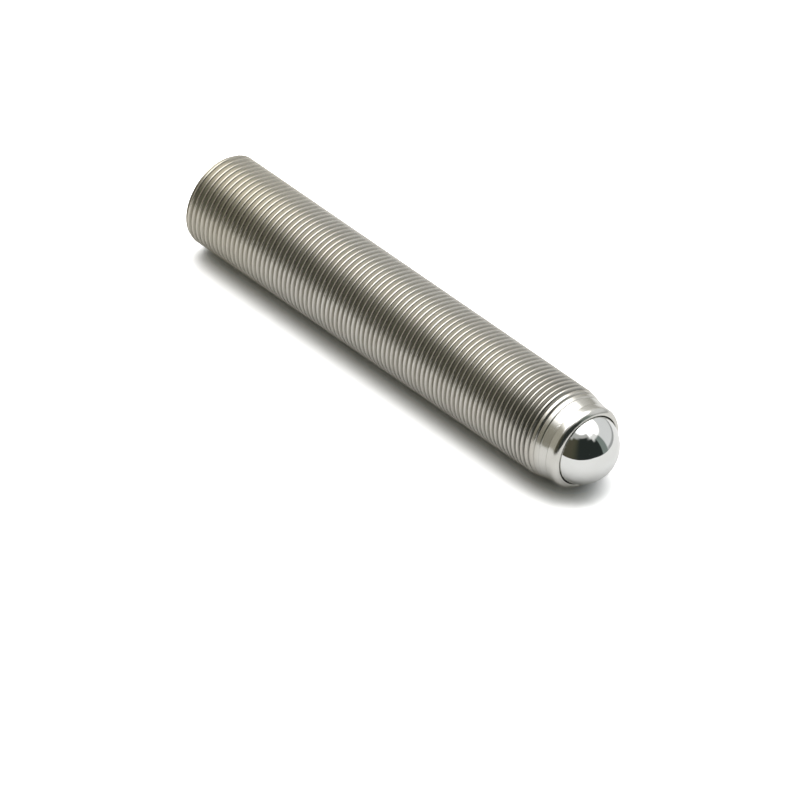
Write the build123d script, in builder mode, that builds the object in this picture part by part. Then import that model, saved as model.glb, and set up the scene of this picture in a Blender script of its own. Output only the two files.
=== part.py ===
from build123d import *
import math
import os

# Ball-end adjusting screw: a headless fine-thread screw that is turned by a hex socket in its flat
# end and presses with a steel ball, which turns freely in the nose behind a rolled lip.
# Millimetres. The screw stands on its flat end, with +Z along its axis towards the ball and the
# origin at the centre of the flat end.

# Overall
overall_length = 30.0  # flat end to the tip of the ball
thread_diameter = 5.23  # over the crests, measured in the photo against the length
end_chamfer = 0.15  # round the flat end

# Ball and its seat
seat_wall = 0.545  # from the seat's bore to the crests of the thread
seat_clearance = 0.04  # radial room that lets the ball turn
seat_drill_point = 118.0  # degrees, the cone at the bottom of the bore

# Rolled lip
lip_reach = 0.52  # how far the lip closes over the ball, past the ball's widest circle
lip_wall = 0.356  # thickness of the lip round the mouth
lip_round = 0.26  # rolled outer edge
mouth_break = 0.04  # edge broken round the mouth

# Nose, between the thread and the lip
nose_land = 0.72  # straight band of the lip, from its face to the cone
lip_step = 0.02  # how far that band stands out from the end of the cone
nose_cone_length = 1.4  # from the band up to the full thread

# Hex socket in the flat end
socket_across_flats = 2.5
socket_depth = 3.0
socket_lead_in = 0.1  # how far the lead-in cone passes the hexagon's corners
socket_lead_in_angle = 120.0  # degrees
socket_drill_point = 120.0  # degrees, left by the pilot drill

# Worked out from the sizes above
thread_radius = thread_diameter / 2
seat_radius = thread_radius - seat_wall
ball_radius = seat_radius - seat_clearance
ball_height = overall_length - ball_radius
lip_height = ball_height + lip_reach
mouth_radius = math.sqrt(seat_radius**2 - lip_reach**2)
nose_radius = mouth_radius + lip_wall
cone_low = lip_height - nose_land - nose_cone_length
cone_high = lip_height - nose_land
cone_end_radius = nose_radius - lip_step

# The cone of the seat touches the same sphere as the lip, so the ball has one clearance all round
seat_half_angle = math.radians(seat_drill_point / 2)
seat_bottom = ball_height - seat_radius / math.sin(seat_half_angle)
bore_bottom = seat_bottom + seat_radius / math.tan(seat_half_angle)

socket_flat_radius = socket_across_flats / 2
socket_corner_radius = socket_flat_radius / math.cos(math.radians(30))
lead_in_radius = socket_corner_radius + socket_lead_in
lead_in_half_angle = math.radians(socket_lead_in_angle / 2)
lead_in_depth = (lead_in_radius - socket_flat_radius) / math.tan(lead_in_half_angle)
socket_point_depth = socket_flat_radius / math.tan(math.radians(socket_drill_point / 2))


# Screw body: turned from bar, bored for the ball, its socket broached, its lip rolled over the ball
with BuildPart() as screw_body:
    with BuildSketch(Plane.XZ) as half_section:
        with BuildLine() as outline:
            Polyline((0, seat_bottom), (0, 0), (thread_radius, 0), (thread_radius, cone_low))
            Polyline((thread_radius, cone_low), (cone_end_radius, cone_high), (nose_radius, cone_high + lip_step))
            Polyline((nose_radius, cone_high + lip_step), (nose_radius, lip_height), (mouth_radius, lip_height))
            RadiusArc((mouth_radius, lip_height), (seat_radius, ball_height), seat_radius)
            Polyline((seat_radius, ball_height), (seat_radius, bore_bottom), (0, seat_bottom))
        make_face()
    revolve(axis=Axis.Z)

    lip_face = screw_body.faces().filter_by(GeomType.PLANE).sort_by(Axis.Z)[-1]
    fillet(lip_face.outer_wire().edges(), lip_round)
    lip_face = screw_body.faces().filter_by(GeomType.PLANE).sort_by(Axis.Z)[-1]
    chamfer(lip_face.inner_wires().edges(), mouth_break)

    flat_end = screw_body.faces().filter_by(GeomType.PLANE).sort_by(Axis.Z)[0]
    chamfer(flat_end.outer_wire().edges(), end_chamfer)

    # The hexagon, the cone left by its pilot drill, and the cone that leads the key in
    with BuildSketch(Plane.XY) as socket_outline:
        RegularPolygon(socket_flat_radius, side_count=6, major_radius=False)
    extrude(amount=socket_depth, mode=Mode.SUBTRACT)
    from_bottom = (Align.CENTER, Align.CENTER, Align.MIN)
    with Locations((0, 0, socket_depth)):
        Cone(socket_flat_radius, 0, socket_point_depth, align=from_bottom, mode=Mode.SUBTRACT)
    Cone(lead_in_radius, socket_flat_radius, lead_in_depth, align=from_bottom, mode=Mode.SUBTRACT)


# Ball: a separate ground steel ball, held by the lip and free to turn
with BuildPart() as ball:
    with Locations((0, 0, ball_height)):
        Sphere(ball_radius)


os.makedirs("parts", exist_ok=True)

screw_body.part.label = "screw_body"
export_step(screw_body.part, "parts/screw_body.step")

ball.part.label = "ball"
export_step(ball.part, "parts/ball.step")
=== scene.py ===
import math

import bmesh
import bpy
from mathutils import Matrix, Vector


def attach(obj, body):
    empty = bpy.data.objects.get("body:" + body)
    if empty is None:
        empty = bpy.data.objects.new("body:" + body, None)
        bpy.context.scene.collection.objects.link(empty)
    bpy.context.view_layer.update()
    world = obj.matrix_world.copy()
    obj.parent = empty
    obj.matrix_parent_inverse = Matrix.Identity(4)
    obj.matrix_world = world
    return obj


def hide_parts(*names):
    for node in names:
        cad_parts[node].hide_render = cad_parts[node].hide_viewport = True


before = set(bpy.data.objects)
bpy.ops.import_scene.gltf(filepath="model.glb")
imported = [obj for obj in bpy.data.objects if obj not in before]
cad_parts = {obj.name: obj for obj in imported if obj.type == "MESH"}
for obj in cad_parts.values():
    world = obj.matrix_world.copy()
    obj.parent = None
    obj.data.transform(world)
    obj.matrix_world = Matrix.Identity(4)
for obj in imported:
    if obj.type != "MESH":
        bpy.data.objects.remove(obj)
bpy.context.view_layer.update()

# Ball-end adjusting screw. The frame is the CAD's, in metres: the flat end is at the origin and +Z runs
# along the screw towards the ball. The meshes below are worked out in millimetres and then brought to metres.


# Threaded body
# One piece of bright steel. The fine right-hand thread is rolled on the bar, the nose and the flat end
# are turned, the seat is bored and the hexagon broached, and the lip is rolled over the ball last.
millimetre = 0.001
crest_radius = 2.615
pitch = 0.335
thread_depth = 0.2
flank_slope = math.tan(math.radians(30))  # how far along the axis a flank runs for each unit of its depth
crest_half_width = 0.040
crest_edge = 0.018  # half the width of the round at the crest's edge
flank_end = 0.142  # where the flank turns into the round of the root
root_radius = crest_radius - thread_depth
segments = 72  # round the screw, a multiple of six so that the hexagon's corners fall on vertices

end_chamfer = 0.15
cone_low = 26.37  # where the full thread ends and the cone of the nose begins
cone_high = 27.77  # where the cone meets the band of the lip
cone_end_radius = 2.3396
lip_step = 0.02  # how far the band of the lip stands out from the cone
lip_radius = cone_end_radius + lip_step


def blank_radius(z):
    """Radius of the screw's outside at a height, as if it had no thread."""
    if z < end_chamfer:
        return crest_radius - (end_chamfer - max(z, 0))
    if z < cone_low:
        return crest_radius
    return crest_radius - (crest_radius - cone_end_radius) * min((z - cone_low) / (cone_high - cone_low), 1)


def ridge_depth(distance, cut):
    """Depth below the full crest at a distance along the axis from the middle of a ridge, on a bar that is
    turned down by the cut."""
    if distance < flank_end:
        depth = (distance - crest_half_width) / flank_slope
    else:
        part = (pitch / 2 - distance) / (pitch / 2 - flank_end)
        depth = thread_depth - part * part * (thread_depth - (flank_end - crest_half_width) / flank_slope)
    from_edge = abs(distance - crest_half_width - cut * flank_slope)
    rounded = max(0.0, crest_edge - from_edge) ** 2 / (4 * crest_edge * flank_slope)
    return max(depth, cut) + rounded * min(1.0, max(0.0, (thread_depth - cut) / crest_edge))


def ring_chain(bm, points):
    """Edges through points given as (radius, height), ready to be spun round the axis."""
    chain = [bm.verts.new((radius, 0, height)) for radius, height in points]
    edges = [bm.edges.new(pair) for pair in zip(chain, chain[1:])]
    return chain + edges


def spin_round(bm, points):
    """A turned surface: the points, given as (radius, height), spun once round the axis."""
    bmesh.ops.spin(
        bm,
        geom=ring_chain(bm, points),
        cent=(0, 0, 0),
        axis=(0, 0, 1),
        angle=math.tau,
        steps=segments,
        use_merge=True,
    )


def arc(centre, radius, start, end, steps):
    """Points on an arc, as (radius, height), between two angles in degrees."""
    angles = [math.radians(start + (end - start) * k / steps) for k in range(steps + 1)]
    return [(centre[0] + radius * math.cos(a), centre[1] + radius * math.sin(a)) for a in angles]


# The thread: the side view of all its ridges is spun once round the screw while it rises by one pitch, so
# that each ridge meets the next. It is then fitted to the turned bar, on which the ridges flatten towards
# the nose and run out at the chamfer.
thread_top = 27.42  # above this the nose is smooth
turns = math.ceil(thread_top / pitch) + 2
half_ridge = [
    0.45 * (crest_half_width - crest_edge),
    crest_half_width - crest_edge,
    crest_half_width - 0.5 * crest_edge,
    crest_half_width + 0.2 * crest_edge,
    crest_half_width + crest_edge,
    flank_end,
    flank_end + 0.7 * (pitch / 2 - flank_end),
]
whole_ridge = sorted([-d for d in half_ridge] + half_ridge + [pitch / 2])

bm = bmesh.new()
from_crest = bm.verts.layers.float.new("from_crest")
groove = bm.verts.layers.float.new("groove")
distances = whole_ridge * turns
crest_heights = [(turn - 1) * pitch for turn in range(turns) for place in whole_ridge]
thread_chain = ring_chain(bm, [(crest_radius, h + d) for h, d in zip(crest_heights, distances)])
for vertex, distance in zip(thread_chain, distances):
    vertex[from_crest] = distance
bmesh.ops.spin(
    bm,
    geom=thread_chain,
    cent=(0, 0, 0),
    axis=(0, 0, 1),
    dvec=(0, 0, pitch / segments),
    angle=math.tau,
    steps=segments,
)
crest_rows_end = crest_half_width + 1.01 * crest_edge  # the rows nearer to the middle belong to the crest
spare = pitch / 2 - crest_half_width - crest_edge  # room for a ridge to widen in
widest = 0.95 * spare
for vertex in bm.verts:
    on_full_thread = abs(vertex[from_crest])
    crest_height = vertex.co.z - vertex[from_crest]
    height = crest_height
    # The nose narrows within the width of one ridge, so there the place of each row is found in a few rounds
    rounds = 5 if crest_height > cone_low - pitch else 1
    for again in range(rounds):
        widened = min((crest_radius - blank_radius(height)) * flank_slope, widest)
        if on_full_thread < crest_rows_end:
            distance = on_full_thread + widened
        else:
            distance = pitch / 2 - (pitch / 2 - on_full_thread) * (spare - widened) / spare
        height = crest_height + math.copysign(distance, vertex[from_crest])
    height = min(max(height, 0.0), thread_top)
    bar = blank_radius(height)
    radius = min(crest_radius - ridge_depth(distance, crest_radius - bar), bar)
    if height == 0:
        radius = root_radius
    vertex[groove] = (bar - radius) / thread_depth
    around = math.hypot(vertex.co.x, vertex.co.y)
    vertex.co = (vertex.co.x * radius / around, vertex.co.y * radius / around, height)

# The nose above the thread, a fine groove in the corner below the lip's band, the lip with its rolled edge
# and broken mouth, and the seat down to its drilled cone
nose_rings = (thread_top, 27.51, 27.6, 27.69, cone_high)
corner_groove = 0.025  # its depth
corner_groove_bottom = cone_high + 0.012
corner_groove_top = cone_high + 0.045
lip_height = 28.49
lip_round = 0.35
mouth_radius = 2.014
mouth_break = 0.04
mouth_turn = 160  # degrees, where the broken edge ends
ball_height = 27.97  # centre of the ball and of its seat
seat_radius = 2.07
seat_inset = 0.01  # the round of the seat begins this far out from the mouth, and then a degree lower
seat_half_angle = math.radians(59)  # of the cone that the drill leaves
seat_bottom = ball_height - seat_radius / math.sin(seat_half_angle)
bore_bottom = seat_bottom + seat_radius / math.tan(seat_half_angle)

nose_points = [(blank_radius(height), height) for height in nose_rings]
nose_points += [(cone_end_radius - corner_groove, corner_groove_bottom), (lip_radius, corner_groove_top)]
lip_turn = math.acos(1 - (lip_radius - mouth_radius - mouth_break) / lip_round)
lip_centre = (lip_radius - lip_round, lip_height - lip_round * math.sin(lip_turn))
nose_points += arc(lip_centre, lip_round, 0, math.degrees(lip_turn), 8)
nose_points += arc((mouth_radius + mouth_break, lip_height - mouth_break), mouth_break, 90, mouth_turn, 5)
seat_start = math.degrees(math.acos((mouth_radius + seat_inset) / seat_radius)) - 1
nose_points += arc((0, ball_height), seat_radius, seat_start, 0, 5)
nose_points += [(seat_radius, bore_bottom), (0, seat_bottom)]
spin_round(bm, nose_points)

# The flat end: its face, the cone that leads the key in, the hexagon and the point of the pilot drill
same_place = 0.001
merge_distance = 0.0004
hexagon_turn = math.radians(60)  # from one flat to the next
hexagon_flat = 1.25
hexagon_corner = hexagon_flat / math.cos(hexagon_turn / 2)
lead_in = 0.1  # how far the lead-in cone passes the hexagon's corners
lead_in_radius = hexagon_corner + lead_in
lead_in_half_angle = math.radians(60)
lead_in_depth = 0.05  # about: each row is put in its place below
socket_depth = 3.0
drill_point = 0.722
drill_ring = socket_depth + 0.0005  # far enough from the hexagon's flats to stay apart in the merge
spin_round(
    bm,
    [
        (root_radius, 0),
        (lead_in_radius, 0),
        (hexagon_corner, lead_in_depth),
        (hexagon_corner, socket_depth),
        (hexagon_flat, drill_ring),
        (0, socket_depth + drill_point),
    ],
)
for vertex in bm.verts:
    around = math.hypot(vertex.co.x, vertex.co.y)
    height = vertex.co.z
    if abs(around - hexagon_corner) < same_place and height < drill_ring:
        from_flat = (math.atan2(vertex.co.y, vertex.co.x) % hexagon_turn) - hexagon_turn / 2
        radius = hexagon_flat / math.cos(from_flat)
        if height < 2 * lead_in_depth:
            height = (lead_in_radius - radius) / math.tan(lead_in_half_angle)
        vertex.co = (vertex.co.x * radius / around, vertex.co.y * radius / around, height)

# Near the top of the thread, where one turn meets the next, rows lie so close together that the merge
# leaves a hole of three edges. It is filled.
bmesh.ops.remove_doubles(bm, verts=bm.verts[:], dist=merge_distance)
bmesh.ops.holes_fill(bm, edges=[edge for edge in bm.edges if edge.is_boundary], sides=4)
bmesh.ops.recalc_face_normals(bm, faces=bm.faces[:])
for face in bm.faces:
    face.smooth = True
bmesh.ops.scale(bm, verts=bm.verts[:], vec=(millimetre, millimetre, millimetre))
body_mesh = bpy.data.meshes.new("threaded_body")
bm.to_mesh(body_mesh)
bm.free()
sharp_angle = math.radians(38)
body_mesh.set_sharp_from_angle(angle=sharp_angle)
threaded_body = bpy.data.objects.new("threaded_body", body_mesh)
bpy.context.scene.collection.objects.link(threaded_body)


def wear_group():
    """The fine uneven look of handled steel, as a node group: blotches of film, thin scratches, and grain."""
    group = bpy.data.node_groups.new("steel_wear", "ShaderNodeTree")
    group.interface.new_socket("Blotches", in_out="INPUT", socket_type="NodeSocketFloat").default_value = 0.6
    group.interface.new_socket("Scratches", in_out="INPUT", socket_type="NodeSocketFloat").default_value = 0.5
    for name in ("Film", "Scratch", "Grain"):
        group.interface.new_socket(name, in_out="OUTPUT", socket_type="NodeSocketFloat")
    nodes = group.nodes
    links = group.links
    given = nodes.new("NodeGroupInput")
    put_out = nodes.new("NodeGroupOutput")
    place = nodes.new("ShaderNodeVectorMath")
    place.operation = "SCALE"
    place.inputs["Scale"].default_value = 1000  # millimetres
    links.new(nodes.new("ShaderNodeTexCoord").outputs["Object"], place.inputs[0])

    film = nodes.new("ShaderNodeTexNoise")
    film.inputs["Detail"].default_value = 4
    links.new(place.outputs["Vector"], film.inputs["Vector"])
    links.new(given.outputs["Blotches"], film.inputs["Scale"])
    film_edge = nodes.new("ShaderNodeMapRange")
    film_edge.interpolation_type = "SMOOTHSTEP"
    film_edge.inputs["From Min"].default_value = 0.36
    film_edge.inputs["From Max"].default_value = 0.66
    links.new(film.outputs["Fac"], film_edge.inputs["Value"])
    links.new(film_edge.outputs["Result"], put_out.inputs["Film"])

    stretched = nodes.new("ShaderNodeMapping")
    stretched.inputs["Rotation"].default_value = (0.5, 0.3, 0.9)
    stretched.inputs["Scale"].default_value = (1.0, 0.12, 0.5)
    links.new(place.outputs["Vector"], stretched.inputs["Vector"])
    cells = nodes.new("ShaderNodeTexVoronoi")
    cells.feature = "DISTANCE_TO_EDGE"
    links.new(stretched.outputs["Vector"], cells.inputs["Vector"])
    links.new(given.outputs["Scratches"], cells.inputs["Scale"])
    thin = nodes.new("ShaderNodeMapRange")
    thin.inputs["From Min"].default_value = 0.0
    thin.inputs["From Max"].default_value = 0.012
    thin.inputs["To Min"].default_value = 1
    thin.inputs["To Max"].default_value = 0
    links.new(cells.outputs["Distance"], thin.inputs["Value"])
    links.new(thin.outputs["Result"], put_out.inputs["Scratch"])

    grain = nodes.new("ShaderNodeTexNoise")
    grain.inputs["Scale"].default_value = 9
    grain.inputs["Detail"].default_value = 3
    links.new(place.outputs["Vector"], grain.inputs["Vector"])
    links.new(grain.outputs["Fac"], put_out.inputs["Grain"])
    return group


steel_wear = wear_group()
body_steel = bpy.data.materials.new("body_steel")
body_steel.use_nodes = True
nodes = body_steel.node_tree.nodes
links = body_steel.node_tree.links
shader = nodes["Principled BSDF"]
shader.inputs["Metallic"].default_value = 1.0


# The next helpers add to the node tree that nodes and links stand for when they are called
def blend(share, low, high, kind="RGBA"):
    """One value or colour turning into another."""
    node = nodes.new("ShaderNodeMix")
    node.data_type = kind
    sockets = {socket.name: socket for socket in node.inputs if socket.enabled}
    for name, value in (("Factor", share), ("A", low), ("B", high)):
        if isinstance(value, tuple):
            sockets[name].default_value = (*value, 1)
        elif isinstance(value, (int, float)):
            sockets[name].default_value = value
        else:
            links.new(value, sockets[name])
    return [socket for socket in node.outputs if socket.enabled][0]


def maths(operation, *values):
    """A Math node, given its values or what feeds them."""
    node = nodes.new("ShaderNodeMath")
    node.operation = operation
    for socket, value in zip(node.inputs, values):
        if isinstance(value, (int, float)):
            socket.default_value = value
        else:
            links.new(value, socket)
    return node.outputs["Value"]


def smooth_step(value, low, high, start=0.0, end=1.0):
    """From start to end as the value goes from low to high."""
    node = nodes.new("ShaderNodeMapRange")
    node.interpolation_type = "SMOOTHSTEP"
    links.new(value, node.inputs["Value"])
    node.inputs["From Min"].default_value = low
    node.inputs["From Max"].default_value = high
    node.inputs["To Min"].default_value = start
    node.inputs["To Max"].default_value = end
    return node.outputs["Result"]


# Turned surfaces carry fine rings, which follow the height on the nose and the radius on flat faces. The
# grooves of the thread are duller than its burnished crests and carry painted shade, deeper with depth,
# darkest beside the nose.
crest_steel = (0.62, 0.60, 0.55)
filmed_steel = (0.585, 0.56, 0.51)
flat_end_steel = (0.56, 0.53, 0.455)
# Painted shade: darker colours in the thread's grooves stand in for the shade that falls in them
groove_painted_shade = (0.41, 0.392, 0.345)
groove_painted_shade_by_nose = (0.28, 0.27, 0.245)
groove_painted_shade_by_flat_end = (0.49, 0.465, 0.40)
nose_steel = (0.70, 0.69, 0.655)
nose_film = (0.66, 0.65, 0.61)
ring_shade = (0.2, 0.19, 0.17)
wear = nodes.new("ShaderNodeGroup")
wear.node_tree = steel_wear
wear.inputs["Blotches"].default_value = 0.7
wear.inputs["Scratches"].default_value = 1.2
place = nodes.new("ShaderNodeSeparateXYZ")
links.new(nodes.new("ShaderNodeTexCoord").outputs["Object"], place.inputs["Vector"])
squares = [maths("POWER", place.outputs[axis], 2.0) for axis in ("X", "Y")]
off_axis = maths("SQRT", maths("ADD", *squares))
rings = nodes.new("ShaderNodeTexNoise")
rings.noise_dimensions = "1D"
rings.inputs["Scale"].default_value = 9000
rings.inputs["Detail"].default_value = 2
links.new(maths("ADD", place.outputs["Z"], off_axis), rings.inputs["W"])
in_groove = nodes.new("ShaderNodeAttribute")
in_groove.attribute_name = "groove"
# The depth of a groove makes it rougher and sets how much painted shade it gets
dull_and_shaded = smooth_step(in_groove.outputs["Fac"], 0.06, 0.55)
from_flat_end = smooth_step(place.outputs["Z"], 2.5 * millimetre, 8.5 * millimetre)
to_nose = smooth_step(place.outputs["Z"], 22.0 * millimetre, 26.5 * millimetre)
on_nose = smooth_step(place.outputs["Z"], 26.8 * millimetre, 27.4 * millimetre)
steel = blend(from_flat_end, flat_end_steel, blend(wear.outputs["Film"], crest_steel, filmed_steel))
# Painted shade in the grooves, deepest beside the nose and palest by the flat end
painted_groove_shade = blend(to_nose, groove_painted_shade, groove_painted_shade_by_nose)
painted_groove_shade = blend(from_flat_end, groove_painted_shade_by_flat_end, painted_groove_shade)
steel = blend(dull_and_shaded, steel, painted_groove_shade)
steel = blend(on_nose, steel, blend(wear.outputs["Film"], nose_steel, nose_film))
steel = blend(maths("MULTIPLY", rings.outputs["Fac"], 0.10), steel, ring_shade)
links.new(steel, shader.inputs["Base Color"])
burnished = maths("MULTIPLY_ADD", wear.outputs["Film"], 0.06, 0.21)
groove_roughness = 0.32
nose_roughness = 0.19
roughness = blend(dull_and_shaded, burnished, groove_roughness, "FLOAT")
links.new(blend(on_nose, roughness, nose_roughness, "FLOAT"), shader.inputs["Roughness"])
relief = nodes.new("ShaderNodeBump")
relief.inputs["Strength"].default_value = 1.0
relief.inputs["Distance"].default_value = 0.0012 * millimetre
surface = maths("ADD", rings.outputs["Fac"], maths("MULTIPLY", wear.outputs["Grain"], 1.2))
smooth_nose = maths("MULTIPLY_ADD", on_nose, -0.92, 1.0)  # the nose keeps a little of the relief
surface = maths("MULTIPLY", surface, smooth_nose)
links.new(maths("SUBTRACT", surface, wear.outputs["Scratch"]), relief.inputs["Height"])
links.new(relief.outputs["Normal"], shader.inputs["Normal"])
body_mesh.materials.append(body_steel)

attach(threaded_body, "screw")
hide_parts("screw_body")


# Ball
# A ground and polished ball of hardened steel. It sits in the seat with a hair of room, and the lip is
# rolled in past its widest circle, so that it turns but can't fall out.
ball_radius = 2.03
polished = (0.77, 0.775, 0.765)
polished_film = (0.745, 0.75, 0.735)
bm = bmesh.new()
bmesh.ops.create_icosphere(bm, subdivisions=6, radius=ball_radius * millimetre)
bmesh.ops.translate(bm, verts=bm.verts[:], vec=(0, 0, ball_height * millimetre))
for face in bm.faces:
    face.smooth = True
ball_mesh = bpy.data.meshes.new("steel_ball")
bm.to_mesh(ball_mesh)
bm.free()
steel_ball = bpy.data.objects.new("steel_ball", ball_mesh)
bpy.context.scene.collection.objects.link(steel_ball)

ball_steel = bpy.data.materials.new("ball_steel")
ball_steel.use_nodes = True
nodes = ball_steel.node_tree.nodes
links = ball_steel.node_tree.links
shader = nodes["Principled BSDF"]
shader.inputs["Metallic"].default_value = 1.0
wear = nodes.new("ShaderNodeGroup")
wear.node_tree = steel_wear
wear.inputs["Blotches"].default_value = 0.9
wear.inputs["Scratches"].default_value = 0.8
links.new(blend(wear.outputs["Film"], polished, polished_film), shader.inputs["Base Color"])
links.new(maths("MULTIPLY_ADD", wear.outputs["Film"], 0.02, 0.03), shader.inputs["Roughness"])
relief = nodes.new("ShaderNodeBump")
relief.inputs["Strength"].default_value = 1.0
relief.inputs["Distance"].default_value = 0.0001 * millimetre
links.new(maths("SUBTRACT", wear.outputs["Grain"], wear.outputs["Scratch"]), relief.inputs["Height"])
links.new(relief.outputs["Normal"], shader.inputs["Normal"])
ball_mesh.materials.append(ball_steel)

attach(steel_ball, "ball")
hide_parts("ball")


# Directions of the studio
# The screw lies on its side, so the studio's up is the screw's -Y. Right is the picture's right and
# towards is the level direction to the camera.
tilt = math.radians(35.0)  # of the screw's axis out of the picture, towards the camera
slope = math.radians(34.58)  # of the screw's axis in the picture, down to the right
camera_rise = math.atan(math.sin(slope) / math.tan(tilt))  # of the camera over the floor

axis_seen = Vector((math.cos(tilt) * math.cos(slope), -math.cos(tilt) * math.sin(slope), math.sin(tilt)))
floor_seen = Vector((0, math.cos(camera_rise), math.sin(camera_rise)))
side_seen = axis_seen.cross(floor_seen)
to_screw = Matrix((side_seen, -floor_seen, axis_seen))
picture_right = to_screw @ Vector((1, 0, 0))
picture_up = to_screw @ Vector((0, 1, 0))
picture_back = to_screw @ Vector((0, 0, 1))
up = Vector((0, -1, 0))
towards = to_screw @ Vector((0, -math.sin(camera_rise), math.cos(camera_rise)))


# Camera
# A long lens, as in close product work, held so that the picture's frame is the photograph's.
picture_size = 800  # pixels
picture_scale = 19.22  # pixels for a millimetre at the ball
sensor = 36.0
lens = 1500.0
ball_place = (581.3, 445.6)  # pixels, from the top left corner
distance = picture_size / picture_scale / sensor * lens
ball_right = (ball_place[0] - picture_size / 2) / picture_scale
ball_up = (picture_size / 2 - ball_place[1]) / picture_scale
camera_spot = Vector((0, 0, ball_height)) - picture_right * ball_right - picture_up * ball_up
camera_spot += picture_back * distance
camera_data = bpy.data.cameras.new("camera")
camera_data.sensor_width = sensor
camera_data.lens = lens
camera_data.clip_start = 0.1
camera_data.clip_end = 10
camera = bpy.data.objects.new("camera", camera_data)
turn = Matrix((picture_right, picture_up, picture_back)).transposed().to_4x4()
camera.matrix_world = Matrix.Translation(camera_spot * millimetre) @ turn
bpy.context.scene.collection.objects.link(camera)
bpy.context.scene.camera = camera


# Floor
# A plain white table that the screw lies on. Seen from below it is clear, so that it hides no side.
floor_gap = 0.002  # keeps the floor just clear of the crests
floor_far = -3000  # to the left and behind, from under the ball
floor_front = 38
floor_right = 28
shade_colour = (0.42, 0.45, 0.46)  # close under the screw
floor_colour = (1.86, 1.86, 1.88)  # as the camera sees it, bright enough to be white
floor_reflected = (0.79, 0.79, 0.79)  # as the steel sees it
bm = bmesh.new()
under_ball = Vector((0, crest_radius + floor_gap, ball_height))
corners = []
for right, front in (
    (floor_far, floor_far),
    (floor_far, floor_front),
    (floor_right, floor_front),
    (floor_right, floor_far),
):
    corners.append(bm.verts.new((under_ball + picture_right * right + towards * front) * millimetre))
floor_face = bm.faces.new(corners)
floor_face.normal_update()
if floor_face.normal.dot(up) < 0:
    floor_face.normal_flip()
floor_mesh = bpy.data.meshes.new("floor")
bm.to_mesh(floor_mesh)
bm.free()
floor = bpy.data.objects.new("floor", floor_mesh)
bpy.context.scene.collection.objects.link(floor)
floor_white = bpy.data.materials.new("floor_white")
floor_white.use_nodes = True
nodes = floor_white.node_tree.nodes
links = floor_white.node_tree.links
nodes.clear()
paint = nodes.new("ShaderNodeBsdfDiffuse")
seen = nodes.new("ShaderNodeLightPath")
contact = nodes.new("ShaderNodeAmbientOcclusion")
contact.samples = 16
contact.inputs["Distance"].default_value = 1.3 * millimetre
shown = blend(contact.outputs["AO"], shade_colour, floor_colour)
links.new(blend(seen.outputs["Is Camera Ray"], floor_reflected, shown), paint.inputs["Color"])
clear = nodes.new("ShaderNodeBsdfTransparent")
side = nodes.new("ShaderNodeNewGeometry")
mix = nodes.new("ShaderNodeMixShader")
output = nodes.new("ShaderNodeOutputMaterial")
links.new(side.outputs["Backfacing"], mix.inputs["Fac"])
links.new(paint.outputs["BSDF"], mix.inputs[1])
links.new(clear.outputs["BSDF"], mix.inputs[2])
links.new(mix.outputs["Shader"], output.inputs["Surface"])
floor_mesh.materials.append(floor_white)


# Studio light
# A white tent overhead, with grey and black cards round the front and both sides, as the reflections in
# the ball show.
world = bpy.data.worlds.new("studio")
bpy.context.scene.world = world
world.use_nodes = True
nodes = world.node_tree.nodes
links = world.node_tree.links
nodes.clear()
direction = nodes.new("ShaderNodeTexCoord").outputs["Generated"]


def along(vector):
    """How far the direction goes along a vector."""
    node = nodes.new("ShaderNodeVectorMath")
    node.operation = "DOT_PRODUCT"
    links.new(direction, node.inputs[0])
    node.inputs[1].default_value = vector
    return node.outputs["Value"]


height_angle = maths("MULTIPLY", maths("ARCSINE", along(up)), 180 / math.pi)
round_angle = maths("MULTIPLY", maths("ARCTAN2", along(towards), along(picture_right)), 180 / math.pi)


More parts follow.
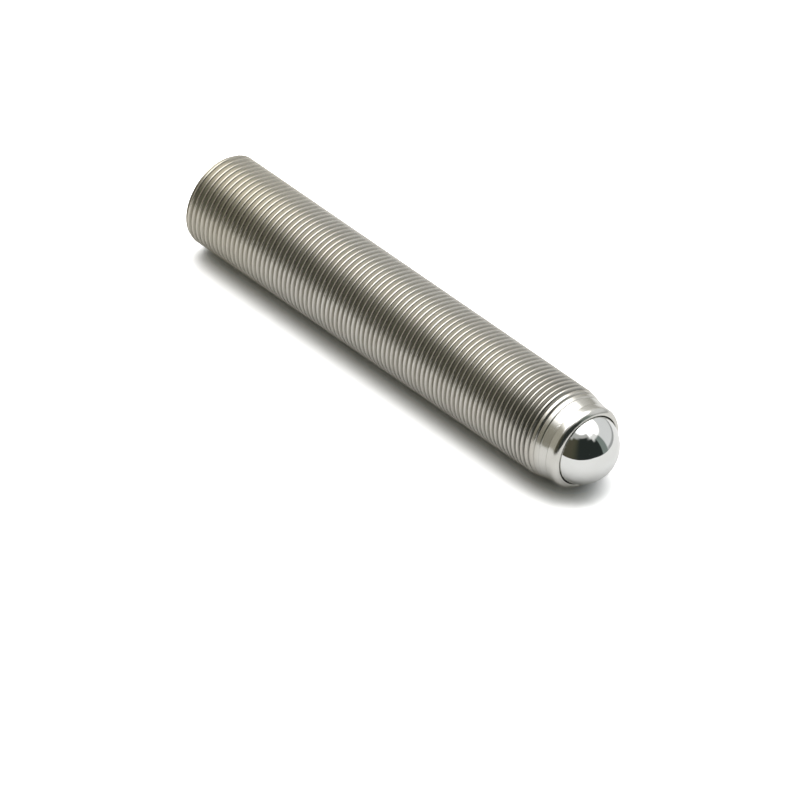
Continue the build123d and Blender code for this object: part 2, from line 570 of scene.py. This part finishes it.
def card(behind, start, end, bottom, top, soft, colour):
    """A card of the studio in front of what is behind it. Start and end are angles on the level, from the
    picture's right towards the camera, bottom and top are angles of height, and soft is the half width of
    its edges across and up, all in degrees."""
    middle = (start + end) / 2
    away = maths("ABSOLUTE", maths("WRAP", maths("SUBTRACT", round_angle, middle), 180, -180))
    half = (end - start) / 2
    across = smooth_step(away, half - soft[0], half + soft[0], 1, 0)
    low = smooth_step(height_angle, bottom - soft[1], bottom + soft[1])
    high = smooth_step(height_angle, top - soft[1], top + soft[1], 1, 0)
    share = maths("MULTIPLY", across, maths("MULTIPLY", low, high))
    return blend(share, behind, colour)


tent = 3.0
low_room = (0.46, 0.455, 0.42)
high_room = (0.79, 0.785, 0.76)
black_card = (0.024, 0.030, 0.027)
studio = blend(smooth_step(height_angle, 0, 40), low_room, high_room)
studio = blend(smooth_step(height_angle, 38, 53), studio, (tent, tent, tent))
studio = card(studio, -60, 12, -90, 41, (4, 4), (0.79, 0.80, 0.80))
studio = card(studio, -60, 10, -90, 1, (4, 2), (0.42, 0.43, 0.43))
studio = card(studio, 8, 44, -90, 60, (8, 7), (0.9, 0.9, 0.88))
studio = card(studio, 42, 165, -90, 73, (10, 6), (0.5, 0.5, 0.48))
studio = card(studio, 7, 32, -90, 43, (3, 3), (0.23, 0.27, 0.25))
studio = card(studio, 146, 216, -90, 52, (9, 7), (0.43, 0.415, 0.35))
studio = card(studio, 26, 46, -90, 40, (2, 5), black_card)
studio = card(studio, 40, 78, -90, 51, (4, 4), black_card)
studio = card(studio, 88, 134, -90, 56, (5, 4), (0.075, 0.075, 0.05))
studio = card(studio, 120, 150, -90, 48, (6, 4), (0.085, 0.08, 0.055))
studio = card(studio, 54, 106, -90, 60, (13, 3), black_card)

seen = nodes.new("ShaderNodeLightPath")
lamp = nodes.new("ShaderNodeBackground")
links.new(studio, lamp.inputs["Color"])
white = nodes.new("ShaderNodeBackground")
white.inputs["Color"].default_value = (1, 1, 1, 1)
mix = nodes.new("ShaderNodeMixShader")
links.new(seen.outputs["Is Camera Ray"], mix.inputs["Fac"])
links.new(lamp.outputs["Background"], mix.inputs[1])
links.new(white.outputs["Background"], mix.inputs[2])
output = nodes.new("ShaderNodeOutputWorld")
links.new(mix.outputs["Shader"], output.inputs["Surface"])

bpy.context.scene.view_settings.view_transform = "Standard"
